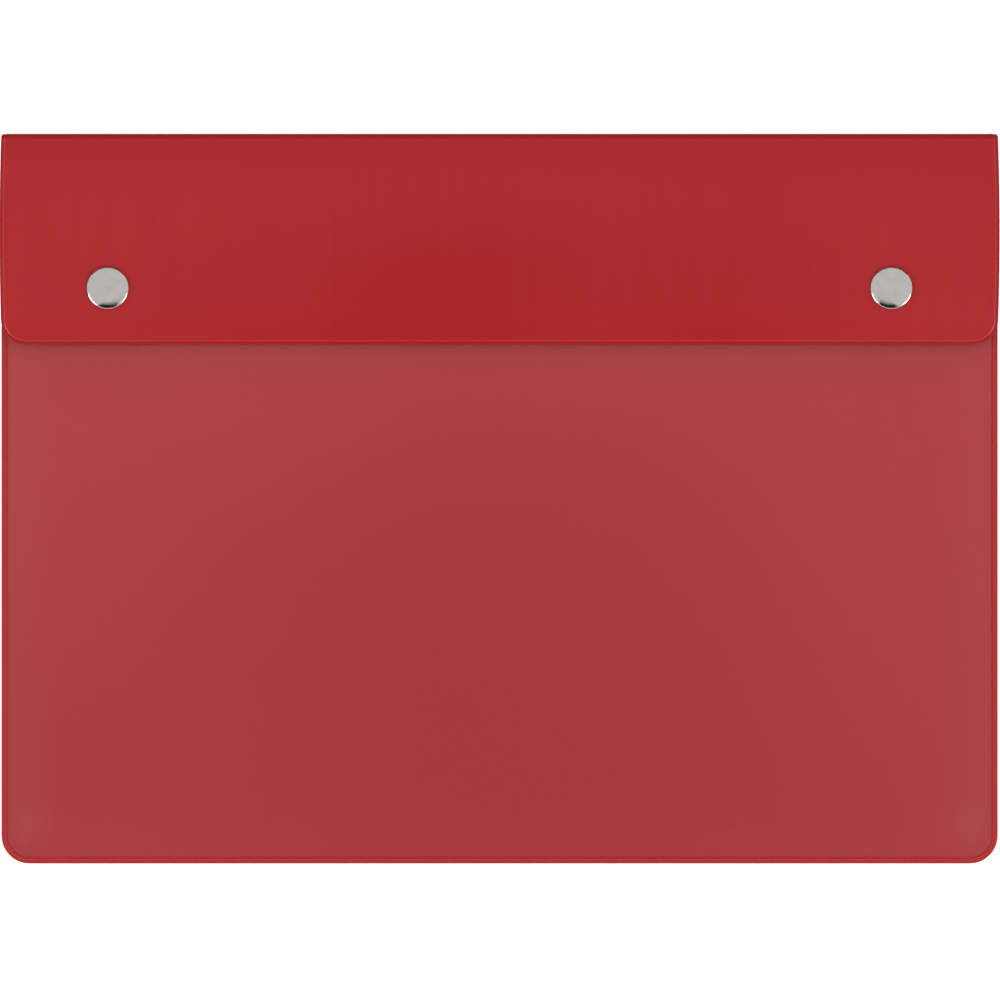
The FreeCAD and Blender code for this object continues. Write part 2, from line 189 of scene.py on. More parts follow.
# %% [markdown]
# ## Lines, corners and reliefs
# A sheet is a grid of lines over its flat cut. The lines crowd together where there is detail to carry,
# at the weld and at the creases, and spread out over the calm middle. Square rings of that grid are
# turned into round ones at the corners, so the weld runs round a corner without a break. Bevelling a
# plain outline would leave the weld's fine ridges with nothing to follow.


# %% Grid lines and round corners
WELD_LINES_MM = (0, 0.1, 0.22, 0.35, 0.48, 0.65, 0.82, 0.95, 1.08, 1.2, 1.4, 1.6, 1.8, 2.0, 2.25, 2.6, 3.2,
                 4.2, 5.4, 7.0)
too_close = 0.02 * MM
calm_step = 4 * MM


def spread(start, stop, step):
    """Evenly spaced lines from start to stop, no further apart than step."""
    return np.linspace(start, stop, max(2, int(math.ceil(abs(stop - start) / step)) + 1))


def tidy_lines(*groups):
    """All the groups' lines in order, with any that nearly coincide taken once."""
    lines = np.unique(np.round(np.concatenate(groups), 8))
    return lines[np.concatenate([[True], np.diff(lines) > too_close])]


def weld_lines(corner):
    """The weld's lines as distances from the edge, up to the corner's radius and including it."""
    return np.array([d * MM for d in WELD_LINES_MM if d * MM < corner] + [corner])


def lines_across(half, corner, fine=()):
    """Lines from -half to half: the weld's lines at both sides, the corner, and even ones between."""
    weld = half - weld_lines(corner)
    return tidy_lines(-weld, weld, spread(-half + corner, half - corner, calm_step), *fine)


def round_corners(x, v, half, edge_v, inward, corner):
    """Turns square rings into round ones at the two corners of the edge at edge_v. With p and q the shares of
    the corner square to each side, the radius is the greater and the angle is a quarter of pi times their
    ratio, so a line at some distance from the edge stays at that distance."""
    p = (np.abs(x) - (half - corner)) / corner
    q = 1 - (v - edge_v) * inward / corner
    inside = (p > 0) & (q > 0)
    big = np.maximum(p, q)
    ratio = np.minimum(p, q) / np.where(big == 0, 1, big)
    angle = np.where(q > p, math.pi / 2 - math.pi / 4 * ratio, math.pi / 4 * ratio)
    round_x = np.sign(x) * (half - corner + corner * big * np.cos(angle))
    round_v = edge_v + inward * corner * (1 - big * np.sin(angle))
    return np.where(inside, round_x, x), np.where(inside, round_v, v)


# %% [markdown]
# ### Holes for the rivets
# Each press stud is riveted through the vinyl by a short tube. The grid gets close lines round each
# rivet, its square rings there are turned into round ones much as at the corners, and the cells inside
# the hole are left out. Boolean cuts would do it too, but they leave slivers all round the cut.


# %% Rivet holes
stud_reach = 13 * MM
stud_step = 0.9 * MM
hole_steps = rivet_hole * np.array([0, 0.38, 0.72, 1.0, 1.3, 1.7])
stud_steps = np.concatenate([hole_steps, spread(2.3 * rivet_hole, stud_reach, stud_step)])
stud_lines = np.concatenate([-stud_steps[:0:-1], stud_steps])


def round_rings(x, v, holes, round_to=3 * MM, square_from=8 * MM):
    """Turns the square rings round each hole into round ones: a point whose greater offset from the hole's
    middle is m moves to the distance m. Between round_to and square_from the rings go back to square."""
    for hole_x, hole_v in holes:
        p, q = x - hole_x, v - hole_v
        ring = np.maximum(np.abs(p), np.abs(q))
        away = np.hypot(p, q)
        share = np.clip((square_from - ring) / (square_from - round_to), 0, 1)
        pull = (ring / np.where(away == 0, 1, away) - 1) * share
        x, v = x + p * pull, v + q * pull
    return x, v


def clear_of_holes(across, along, holes):
    """True for each grid cell whose middle isn't inside a hole."""
    middle_x, middle_v = np.meshgrid((across[1:] + across[:-1]) / 2, (along[1:] + along[:-1]) / 2)
    clear = np.ones(middle_x.shape, bool)
    for hole_x, hole_v in holes:
        clear &= np.maximum(np.abs(middle_x - hole_x), np.abs(middle_v - hole_v)) > rivet_hole
    return clear


# %% [markdown]
# ### What the weld and the hand leave in the sheet
# A heated bar presses the weld: the outermost edge stays as a rounded bead, the bar's track lies a little
# lower, and the vinyl that it pushes aside stands up as a ridge beside the track. Vinyl is never quite
# flat either, so a few long, low waves go over the film and over the flap, where they are the same in
# both sheets. They die away at the creases and under the studs, where the vinyl is held. The back has
# none, because it lies on the table.


# %% Reliefs
def weld_relief(edge, depth=0.10 * MM):
    """Height of the outer face over the distance from the edge: round bead, pressed track, raised ridge."""
    edge_mm = edge / MM
    stations = (0, 0.1, 0.22, 0.35, 0.48, 0.95, 1.08, 1.2, 1.4, 1.6, 1.8)
    heights = (-0.7, -0.3, -0.1, -0.1, -1, -1, -0.6, 0.3, 0.8, 0.35, 0)
    return depth * np.interp(edge_mm, stations, heights)


draw_lots = np.random.default_rng(20)
WAVES = [
    (draw_lots.uniform(25, 70), draw_lots.uniform(0, math.pi), draw_lots.uniform(0, 2 * math.pi))
    for _ in range(9)
]


def long_waves(x, v):
    """Sum of seeded sine waves, 90 to 250 mm long, each with its own direction and phase, from -1 to 1."""
    total = sum(np.sin(k * (x * math.cos(way) + v * math.sin(way)) + phase) for k, way, phase in WAVES)
    return total / len(WAVES)


def held_near_studs(x, y, reach=16 * MM):
    """0 at a stud and 1 well away from it: one minus a bell curve round each stud."""
    held = np.ones_like(x)
    for stud_x, stud_y, _ in stud_places:
        held *= 1 - np.exp(-((x - stud_x) ** 2 + (y - stud_y) ** 2) / reach**2)
    return held


def smooth(t):
    """0 below 0, 1 above 1, and 3 t^2 - 2 t^3 between."""
    t = np.clip(t, 0, 1)
    return t * t * (3 - 2 * t)


# %% [markdown]
# ## From two faces to a closed sheet
# Each sheet is made as two grids, its outer and its inner face, and a narrow wall that joins them round
# the border and round each hole, so it is a closed skin that could be cut or printed. A Solidify modifier
# could give the thickness, but here the two faces differ: only the outer one has the weld's relief.


# %% Build a closed sheet
sharp_from = math.radians(50)


def to_mesh(name, points, *face_groups):
    """A mesh object at the origin from points and one or more arrays of faces, all turned outward."""
    mesh = bpy.data.meshes.new(name)
    mesh.from_pydata(points.tolist(), [], sum((group.tolist() for group in face_groups), []))
    shell = bmesh.new()
    shell.from_mesh(mesh)
    bmesh.ops.recalc_face_normals(shell, faces=shell.faces)
    shell.to_mesh(mesh)
    shell.free()
    mesh.shade_smooth()
    mesh.set_sharp_from_angle(angle=sharp_from)
    piece = bpy.data.objects.new(name, mesh)
    bpy.context.scene.collection.objects.link(piece)
    return piece


def keep_numbers(piece, edge, plan):
    """Stores each point's distance from the welded edge in mm, and its place on the flat cut. The plan's
    third number runs from 0 to 1 and is 1 over the creases: the mask for the painted shade along the folds."""
    attributes = piece.data.attributes
    from_edge = attributes.new("edge", "FLOAT", "POINT")
    from_edge.data.foreach_set("value", (edge / MM).astype(np.float32))
    cut_plan = attributes.new("cut_plan", "FLOAT_VECTOR", "POINT")
    cut_plan.data.foreach_set("vector", plan.astype(np.float32).ravel())


def closed_sheet(name, outer, inner, edge, plan, clear):
    """Outer face, inner face and the wall between their borders, from arrays of rows x columns x 3. clear
    says which cells have vinyl. A side that only one cell uses is a border, round the outline or a hole."""
    rows, columns = outer.shape[:2]
    below = rows * columns
    index = np.arange(below).reshape(rows, columns)
    face = np.stack([index[:-1, :-1], index[1:, :-1], index[1:, 1:], index[:-1, 1:]], -1)[clear]
    start, end = face.ravel(), np.roll(face, -1, 1).ravel()
    border = ~np.isin(start * below + end, end * below + start)
    start, end = start[border], end[border]
    wall = np.stack([end, start, start + below, end + below], -1)
    used, corners = np.unique(np.concatenate([face, face[:, ::-1] + below, wall]), return_inverse=True)
    points = np.concatenate([outer.reshape(-1, 3), inner.reshape(-1, 3)])[used]
    piece = to_mesh(name, points, corners.reshape(-1, 4))
    keep_numbers(piece, np.tile(edge.ravel(), 2)[used], np.tile(plan.reshape(-1, 3), (2, 1))[used])
    print(f"{name}: {len(piece.data.polygons)} faces")
    return piece


# %% [markdown]
# ## The outer and inner sheets
# On the real case the outer sheet is one length of vinyl from the pocket's bottom to the flap's free
# edge, and so is the inner one. A piece can only bend across one joint, so each is cut halfway up the
# spine: the lower length bends at the lower crease and the upper one at the upper crease. The cut is a
# butt joint on flat vinyl, where both halves move with the spine, so it never opens.

# %% Sheet surfaces
crease_clear = 12 * MM
flap_bow = flap_high.x - half_width
fold_end_radius = 1.2 * MM
sheet_wave = 0.12 * MM
bend_reach, bend_step = 2.2 * MM, 0.2 * MM
groove_reach, groove_step = 5 * MM, 0.3 * MM
flap_step = 3 * MM
back_weld_share = 0.35
gap_opens = 0.4 * MM
stud_v = run_ends[5] + stud_seat


def side_bow(v):
    """How far the flap's sides stand out at v: a parabola over the flap's length."""
    share = np.clip((v - run_ends[4]) / (sheet_length - flap_corner - run_ends[4]), 0, 1)
    return np.where(v > run_ends[4], 4 * flap_bow * share * (1 - share), 0)


flap_rivets = [(x / (1 + float(side_bow(stud_v)) / half_width), stud_v) for x, _, _ in stud_places]
flap_stud_lines = [x + stud_lines for x, _ in flap_rivets]
pocket_rivets = [(x, y) for x, y, _ in stud_places]
pocket_stud_lines = [x + stud_lines for x, _ in pocket_rivets]


def folded_surface(x, v, depth, relief):
    """Point at x across and v along: the path's place, lifted along its normal by the relief and the waves
    and sunk by depth. The flap's sides bow out, and a quarter circle rounds off the fold's ends."""
    y, z, normal_y, normal_z = walk(v)
    on_flap = v > run_ends[4]
    from_crease = np.minimum(np.abs(v - run_ends[1]), np.abs(v - run_ends[3]))
    calm = smooth(from_crease / crease_clear) * np.where(on_flap, held_near_studs(x, y), 1)
    from_fold = np.clip((crease_y + crease_radius - y) / fold_end_radius, 0, 1)
    bow = side_bow(v) - fold_end_radius * (1 - np.sqrt(1 - (1 - from_fold) ** 2))
    off_table = np.where(v < run_ends[0], 0.0, 1.0)
    lift = relief + sheet_wave * long_waves(x, v) * calm * off_table - depth
    return np.stack([x * (1 + bow / half_width), y + normal_y * lift, z + normal_z * lift], -1)


def press_marks(x, v):
    """The dish that each stud pulls the flap into, a bell round it, and the shallow groove that the fold
    leaves just past the upper crease, steep on the fold's side and easy on the other."""
    dish = np.zeros_like(x)
    dish_depth, dish_floor, dish_fade = 0.16 * MM, 7.5 * MM, 1.6 * MM
    for rivet_x, rivet_v in flap_rivets:
        past_floor = np.maximum(np.hypot(x - rivet_x, v - rivet_v) - dish_floor, 0)
        dish -= dish_depth * np.exp(-((past_floor / dish_fade) ** 2))
    groove_depth, groove_mm, steep_mm, easy_mm = 0.15 * MM, 1.15, 0.42, 2.4
    past_groove = (v - run_ends[3]) / MM - groove_mm
    groove = -groove_depth * np.exp(-((past_groove / np.where(past_groove < 0, steep_mm, easy_mm)) ** 2))
    return dish + groove


def fold_shade_at(v, bend_starts, bend_ends, fade=0.3 * MM):
    """1 over a bend and 0 a little way off it."""
    return smooth((v - bend_starts + fade) / fade) * smooth((bend_ends + fade - v) / fade)


def folded_sheet(name, from_v, to_v, depth, gauge, show_weld):
    """One length of a folded sheet, from from_v to to_v along the path, between depth and depth + gauge.
    Away from its edge the outer sheet stops a hair short of the inner one, so their faces don't coincide."""
    ends_at_back = from_v == 0
    corner = back_corner if ends_at_back else flap_corner
    weld = weld_lines(corner)
    bends = [spread(end - bend_reach, end + bend_reach, bend_step) for end in run_ends[:4]]
    if ends_at_back:
        along = tidy_lines(weld, spread(corner, to_v, calm_step), *bends)
    else:
        past_crease = spread(run_ends[3], run_ends[3] + groove_reach, groove_step)
        calm = spread(from_v, to_v - corner, flap_step)
        along = tidy_lines(to_v - weld, calm, past_crease, stud_v + stud_lines, *bends)
    between = (along > from_v + too_close) & (along < to_v - too_close)
    along = np.concatenate([[from_v], along[between], [to_v]])
    across = lines_across(half_width, corner, fine=() if ends_at_back else flap_stud_lines)
    rivets = [] if ends_at_back else flap_rivets
    clear = clear_of_holes(across, along, rivets)
    x, v = np.meshgrid(across, along)
    welded_end, inward = (from_v, 1) if ends_at_back else (to_v, -1)
    edge = np.minimum(half_width - np.abs(x), np.abs(v - welded_end))
    x, v = round_corners(x, v, half_width, welded_end, inward, corner)
    x, v = round_rings(x, v, rivets)
    marks = press_marks(x, v)
    weld_here, apart = 0, 0
    if show_weld:
        weld_here = weld_relief(edge) * (back_weld_share if ends_at_back else 1)
        apart = skin_gap * np.minimum(edge / gap_opens, 1) ** 0.5
    outer = folded_surface(x, v, depth, marks + weld_here)
    inner = folded_surface(x, v, depth + gauge - apart, marks)
    # The plan's third number marks the creases, where the vinyl finish paints shade along the folds.
    lower_bend = fold_shade_at(v, run_ends[0], run_ends[1])
    upper_bend = fold_shade_at(v, run_ends[2], run_ends[3] + 0.4 * MM)
    fold_shade = np.maximum(lower_bend, upper_bend)
    return closed_sheet(name, outer, inner, edge, np.stack([x, v, fold_shade], -1), clear)


# %% Make the four lengths
lining_depth = cover_gauge
outer_back = folded_sheet("outer_sheet_back", 0, cut_at, 0, cover_gauge, True)
outer_flap = folded_sheet("outer_sheet_flap", cut_at, sheet_length, 0, cover_gauge, True)
inner_back = folded_sheet("inner_sheet_back", 0, cut_at, lining_depth, lining_gauge, False)
inner_flap = folded_sheet("inner_sheet_flap", cut_at, sheet_length, lining_depth, lining_gauge, False)

# %% [markdown]
# ## The pocket's front film
# The film is welded to the back along both sides and the bottom, and stands a few millimetres off it like
# the face of a pillow that is nearly empty. Its height is a product of one rise for each way, so the
# crown rounds itself off at the corners where two separate slopes would meet in a hard line.


# %% Film surface
def pillow_rise(distance):
    """0 on the weld and 1 past the slope: the sine of a quarter turn over the slope's width."""
    return np.sin(math.pi / 2 * np.clip((distance - weld_width) / pillow_width, 0, 1))


film_swell = 1.1 * MM
slope_step = 1.2 * MM


def film_lift(x, y):
    """The film swells towards the flap's free edge between the studs: a bell across the pocket, faded out
    at the sides and held down at the studs."""
    crest_y, crest_reach = flap_low.y - 5 * MM, 16 * MM
    side_clear, side_fade = 26 * MM, 40 * MM
    bell = np.exp(-(((y - crest_y) / crest_reach) ** 2))
    from_sides = smooth((half_width - side_clear - np.abs(x)) / side_fade)
    return film_swell * bell * from_sides * held_near_studs(x, y)


def film_relief(edge):
    """The pocket's weld: a flat bead, and a groove where the film leaves it."""
    edge_mm = edge / MM
    bead = np.interp(edge_mm, (0, 0.1, 0.22, 0.65, 1.4, 1.6), (-0.14, -0.06, -0.02, 0.03, 0.03, 0))
    groove = -0.12 * np.exp(-(((edge_mm - 2.05) / 0.3) ** 2))
    return MM * (bead + groove)


def film_sheet(name):
    """Grid over the film's flat cut, rim on the inner sheet, crown at the pocket's full height."""
    rim_top = film_low.z + film_gauge
    slope = spread(weld_width, weld_width + pillow_width, slope_step)
    fine = (slope - half_width, half_width - slope, *pocket_stud_lines)
    across = lines_across(half_width, back_corner, fine=fine)
    weld = weld_lines(back_corner)
    mouth = np.array([0, 0.12, 0.3, 0.7, 1.5, 3.0]) * MM
    up = tidy_lines(film_low.y + weld, film_low.y + slope, film_high.y - mouth,
                    spread(film_low.y + back_corner, film_high.y, calm_step),
                    stud_row_y + stud_lines)
    clear = clear_of_holes(across, up, pocket_rivets)
    x, y = np.meshgrid(across, up)
    from_side, from_bottom = half_width - np.abs(x), y - film_low.y
    edge = np.minimum(from_side, from_bottom)
    rise = pillow_rise(from_side) * pillow_rise(from_bottom)
    x, y = round_corners(x, y, half_width, film_low.y, 1, back_corner)
    x, y = round_rings(x, y, pocket_rivets)
    calm = smooth((edge - weld_width) / (2 * pillow_width)) * held_near_studs(x, y)
    calm *= smooth((film_high.y - y) / (3 * pillow_width))
    film_wave, closer, moved_on = 0.3 * MM, 1.3, 0.4
    wave = film_wave * long_waves(closer * x + moved_on, closer * y) * calm
    cut_edge = -0.1 * MM * np.exp(-(film_high.y - y) / (0.12 * MM))
    top = rim_top + rise * (film_high.z - rim_top) + wave + film_lift(x, y)
    outer = np.stack([x, y, top + film_relief(edge) + cut_edge], -1)
    inner = np.stack([x, y, top - film_gauge + skin_gap], -1)
    return closed_sheet(name, outer, inner, edge, np.stack([x, y, np.zeros_like(x)], -1), clear)


pocket_film = film_sheet("pocket_film")

# %% [markdown]
# ## The strip behind the pocket's mouth
# A band of cover vinyl is welded inside the mouth so that the studs have something to pull on. It is a
# strip with cut edges that follows the film's swell, so its grid needs close lines only at the border,
# where its edge is eased, and round the rivets.


# %% Mouth strip
def strip_band(name, low, high, corner):
    """A strip under the film: a grid over its outline with round corners, both faces eased by a short curve
    at the edge. Its edge number starts past the weld's bands, because a cut edge has none."""
    half_x, half_y = (high.x - low.x) / 2, (high.y - low.y) / 2
    middle_y = (low.y + high.y) / 2
    edges = np.array([0, 0.08, 0.2, 0.5, 1.2]) * MM
    rivets = [(rivet_x, rivet_y - middle_y) for rivet_x, rivet_y in pocket_rivets]
    calm_x = spread(corner - half_x, half_x - corner, calm_step)
    calm_y = spread(corner - half_y, half_y - corner, calm_step)
    across = tidy_lines(edges - half_x, half_x - edges, calm_x, *pocket_stud_lines)
    up = tidy_lines(edges - half_y, half_y - edges, calm_y, rivets[0][1] + stud_lines)
    across, up = across[np.abs(across) <= half_x], up[np.abs(up) <= half_y]
    clear = clear_of_holes(across, up, rivets)
    x, y = np.meshgrid(across, up)
    edge = np.minimum(half_x - np.abs(x), half_y - np.abs(y))
    x, y = round_corners(x, y, half_x, -half_y, 1, corner)
    x, y = round_corners(x, y, half_x, half_y, -1, corner)
    x, y = round_rings(x, y, rivets)
    ease = 0.08 * MM * np.exp(-edge / (0.1 * MM))
    lift = film_lift(x, y + middle_y)
    outer = np.stack([x, y + middle_y, high.z - skin_gap - ease + lift], -1)
    inner = np.stack([x, y + middle_y, low.z + ease + lift], -1)
    past_weld = edge + 5 * MM
    return closed_sheet(name, outer, inner, past_weld, np.stack([x, y, np.zeros_like(x)], -1), clear)


mouth_band = strip_band("mouth_band", strip_low, strip_high, corner=2 * MM)

# %% [markdown]
# ## The press studs' caps
# A cap is drawn from thin sheet: nearly flat on top, rounded over at the rim and rolled under. Turning
# one profile about the stud's axis gives it in one go. The profile is sampled closely round the rim,
# because the whole look of a polished cap is in how its rim bends the reflections.


# %% Turn the caps
def cap_profile(radius, base, top):
    """Radius and height from the middle of the crown to the middle of the foot: a fourth-power crown, a
    quarter-ellipse rim, a rolled foot that turns in under the rim."""
    crown_drop, rim = 0.30 * MM, 0.60 * MM
    roll_in, roll_bulge = 0.18 * MM, 0.02 * MM
    flat = radius - rim
    crown_r = flat * np.linspace(0, 1, 22) ** 0.8
    crown_z = top - crown_drop * (crown_r / flat) ** 4
    start = math.atan(4 * crown_drop / flat)
    turn = np.linspace(start, math.pi / 2, 14)[1:]
    rim_r = flat + rim * (np.sin(turn) - math.sin(start)) / (1 - math.sin(start))
    rim_z = (top - crown_drop) - rim * (1 - np.cos(turn))
    roll = (rim_z[-1] - base) / 2
    curl = np.linspace(0, math.pi, 9)[1:]
    curl_r = radius - roll_in * (1 - np.cos(curl)) / 2 - roll_bulge * np.sin(curl)
    curl_z = rim_z[-1] - roll * (1 - np.cos(curl))
    foot_r = np.linspace(curl_r[-1], 0, 5)[1:]
    return np.concatenate([crown_r, rim_r, curl_r, foot_r]), np.concatenate(
        [crown_z, rim_z, curl_z, np.full(4, curl_z[-1])]
    )


def turned(name, centre, r, z, steps=144):
    """A profile turned about the upright line through centre. Its two ends on that line become points."""
    angle = np.linspace(0, 2 * math.pi, steps, endpoint=False)
    ring_r, ring_z = r[1:-1], z[1:-1]
    around = np.stack([
        centre[0] + ring_r[:, None] * np.cos(angle),
        centre[1] + ring_r[:, None] * np.sin(angle),
        np.repeat(ring_z[:, None], steps, 1),
    ], -1)
    index = np.arange(ring_r.size * steps).reshape(ring_r.size, steps)
    ahead = np.roll(index, -1, 1)
    band = np.stack([index[:-1], index[1:], ahead[1:], ahead[:-1]], -1).reshape(-1, 4)
    first, last = index.size, index.size + 1
    start_fan = np.stack([np.full(steps, first), index[0], ahead[0]], -1)
    end_fan = np.stack([np.full(steps, last), ahead[-1], index[-1]], -1)
    ends = [[centre[0], centre[1], z[0]], [centre[0], centre[1], z[-1]]]
    piece = to_mesh(name, np.concatenate([around.reshape(-1, 3), ends]), band, start_fan, end_fan)
    print(f"{name}: {len(piece.data.polygons)} faces")
    return piece


stud_caps = {}
foot_sinks = 0.1 * MM
for side, centre in zip(("left", "right"), stud_places):
    cap_low, cap_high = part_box(f"cap_shell_{side}")
    r, z = cap_profile((cap_high.x - cap_low.x) / 2, cap_low.z - foot_sinks, cap_high.z)
    stud_caps[side] = turned(f"stud_cap_{side}", centre, r, z)


# %% [markdown]
# ## Effects that several finishes share
# Calendered vinyl has long faint streaks along the way it was rolled, a very fine skin grain, and broad
# clouds where it has been handled. Each is a node group, built once, with its size and strength as
# inputs, so that the outer sheet, the inner sheet and the film can each use it at their own strength. A
# group only gives out masks and heights; the shader stays in the material.


# %% Node helpers
def new_group(name, inputs, outputs):
    """A shader node group with number inputs {name: default} or {name: "vector"}, and number outputs."""
    group = bpy.data.node_groups.new(name, "ShaderNodeTree")
    for label, value in inputs.items():
        kind = "NodeSocketVector" if value == "vector" else "NodeSocketFloat"
        socket = group.interface.new_socket(label, in_out="INPUT", socket_type=kind)
        if kind == "NodeSocketFloat":
            socket.default_value = value
    for label in outputs:
        group.interface.new_socket(label, in_out="OUTPUT", socket_type="NodeSocketFloat")
    return group, group.nodes.new("NodeGroupInput"), group.nodes.new("NodeGroupOutput")


def put(tree, kind, at=None, **values):
    """A node of that kind. at sets its properties and values its sockets, by name or as i0, i1 and so on: a
    number or colour is set, and another node's socket is linked."""
    node = tree.nodes.new(kind)
    for key, value in (at or {}).items():
        setattr(node, key, value)
    for key, value in values.items():
        socket = node.inputs[int(key[1:])] if key[0] == "i" and key[1:].isdigit() else node.inputs[key]
        if isinstance(value, bpy.types.NodeSocket):
            tree.links.new(value, socket)
        else:
            socket.default_value = value
    return node


def maths(tree, operation, first, second=0.0, third=0.0):
    """The output of a Math node."""
    return put(tree, "ShaderNodeMath", {"operation": operation}, i0=first, i1=second, i2=third).outputs[0]


def ramp(tree, value, low, high, out_low=0.0, out_high=1.0):
    """value from low..high to out_low..out_high, eased at both ends and held outside."""
    node = put(tree, "ShaderNodeMapRange", {"interpolation_type": "SMOOTHSTEP"}, Value=value)
    for label, number in zip(("From Min", "From Max", "To Min", "To Max"), (low, high, out_low, out_high)):
        node.inputs[label].default_value = number
    return node.outputs[0]


def noise(tree, where, scale, detail=2.0, roughness=0.5):
    """The value of a Noise node, 0 to 1."""
    node = put(tree, "ShaderNodeTexNoise", Vector=where, Scale=scale, Detail=detail, Roughness=roughness)
    return node.outputs[0]


def mix_colour(tree, share, first, second):
    """first where share is 0 and second where it is 1. Each colour is three numbers or another's output."""
    node = put(tree, "ShaderNodeMix", {"data_type": "RGBA"})
    for socket, value in ((node.inputs[0], share), (node.inputs[6], first), (node.inputs[7], second)):
        if isinstance(value, bpy.types.NodeSocket):
            tree.links.new(value, socket)
        else:
            socket.default_value = (*value, 1.0)
    return node.outputs[2]


# %% Rolled streaks, skin grain, clouds
streaks, streaks_in, streaks_out = new_group(
    "rolled streaks", {"Where": "vector", "Strength": 1.0}, ["Streak"])
stretch = put(streaks, "ShaderNodeMapping", Vector=streaks_in.outputs["Where"], Scale=(1.0, 0.035, 1.0))
streak_noise = noise(streaks, stretch.outputs[0], 420.0, 1.0, 0.6)
centred = maths(streaks, "SUBTRACT", streak_noise, 0.5)
streak = maths(streaks, "MULTIPLY", centred, streaks_in.outputs["Strength"])
streaks.links.new(streak, streaks_out.inputs[0])

grain, grain_in, grain_out = new_group(
    "skin grain", {"Where": "vector", "Grains per metre": 2600.0}, ["Height"])
pebbles = noise(grain, grain_in.outputs["Where"], grain_in.outputs["Grains per metre"], 1.0)
grain.links.new(pebbles, grain_out.inputs[0])

clouds, clouds_in, clouds_out = new_group(
    "handling clouds", {"Where": "vector", "Per metre": 12.0}, ["Cloud"])
cloud = noise(clouds, clouds_in.outputs["Where"], clouds_in.outputs["Per metre"], 1.0, 0.45)
clouds.links.new(ramp(clouds, cloud, 0.3, 0.7), clouds_out.inputs[0])


# %% [markdown]
# ### The weld as a mask
# Where the bar has pressed, the two sheets are fused and the colour is deeper; on the film the track is
# also painted dark, painted shade in its groove. The very rim is painted dark, and on the vinyl sheets the
# bead beside it a little darker and duller: painted shade of the rounded edge. On the vinyl sheets the
# ridge past the track is painted paler, a painted highlight on its slope. The sheets carry each point's
# distance from their edge, so each mask is a ramp on that number and goes round the corners with the
# weld. A painted mask would have to be drawn again for every size of case.

# %% Weld bands and polishing marks
weld_bands, weld_in, weld_out = new_group(
    "weld bands", {"Bead ends": 0.35, "Track ends": 1.05}, ["Bead", "Track", "Ridge", "Rim"])
edge_number = put(weld_bands, "ShaderNodeAttribute", {"attribute_name": "edge"}).outputs["Fac"]
from_bead = maths(weld_bands, "SUBTRACT", edge_number, weld_in.outputs[0])
from_track = maths(weld_bands, "SUBTRACT", edge_number, weld_in.outputs[1])
# Bead: on the vinyl sheets a slightly darker colour, painted shade of the rounded edge.
bead = ramp(weld_bands, from_bead, -0.12, 0.12, 1.0, 0.0)
before_end = ramp(weld_bands, from_track, -0.15, 0.15, 1.0, 0.0)
track = maths(weld_bands, "MULTIPLY", before_end, maths(weld_bands, "SUBTRACT", 1.0, bead))
# Ridge: on the vinyl sheets a paler colour, a painted highlight.
ridge = maths(weld_bands, "MULTIPLY", ramp(weld_bands, from_track, 0.0, 0.2),
              ramp(weld_bands, from_track, 0.2, 0.6, 1.0, 0.0))
# Rim: a dark colour on every sheet, painted shade of the rounded outer edge.
rim = ramp(weld_bands, edge_number, 0.1, 0.4, 1.0, 0.0)
for label, value in (("Bead", bead), ("Track", track), ("Ridge", ridge), ("Rim", rim)):
    weld_bands.links.new(value, weld_out.inputs[label])

polish, polish_in, polish_out = new_group(
    "polishing marks", {"Where": "vector", "Strength": 1.0}, ["Height", "Dull"])
fine_lines = put(polish, "ShaderNodeMapping", Vector=polish_in.outputs["Where"], Scale=(1.0, 7.0, 1.0))
hair_lines = noise(polish, fine_lines.outputs[0], 1500.0, 3.0, 0.7)
smudge = noise(polish, polish_in.outputs["Where"], 260.0, 2.0)
hair_height = maths(polish, "MULTIPLY", hair_lines, polish_in.outputs["Strength"])
polish.links.new(hair_height, polish_out.inputs[0])
polish.links.new(ramp(polish, smudge, 0.35, 0.75), polish_out.inputs[1])
print("node groups:", [group.name for group in bpy.data.node_groups])


# %% [markdown]
# ## Finishes
# Each finish is one Principled shader fed by the groups above. Its plain values are set on the shader's
# own sockets, and only what changes over the surface is linked.


# %% Start a finish
def new_finish(name, slots, roughness, metallic=0.0, ior_level=0.5):
    """A material with a Principled shader; slots are its plain values that never change over the surface."""
    material = bpy.data.materials.new(name)
    material.use_nodes = True
    tree = material.node_tree
    shader = tree.nodes["Principled BSDF"]
    shader.inputs["Roughness"].default_value = roughness
    shader.inputs["Metallic"].default_value = metallic
    shader.inputs["Specular IOR Level"].default_value = ior_level
    for label, value in slots.items():
        shader.inputs[label].default_value = value
    return material, tree, shader


def use(tree, group, **values):
    """A group node in that tree. An underscore in a value's name stands for a space."""
    named = {key.replace("_", " "): value for key, value in values.items()}
    return put(tree, "ShaderNodeGroup", {"node_tree": group}, **named)


def bump(tree, shader, height, distance):
    """Feeds a height from 0 to 1, times distance in metres, to the shader's normal."""
    node = put(tree, "ShaderNodeBump", Height=height, Distance=distance)
    tree.links.new(node.outputs[0], shader.inputs["Normal"])
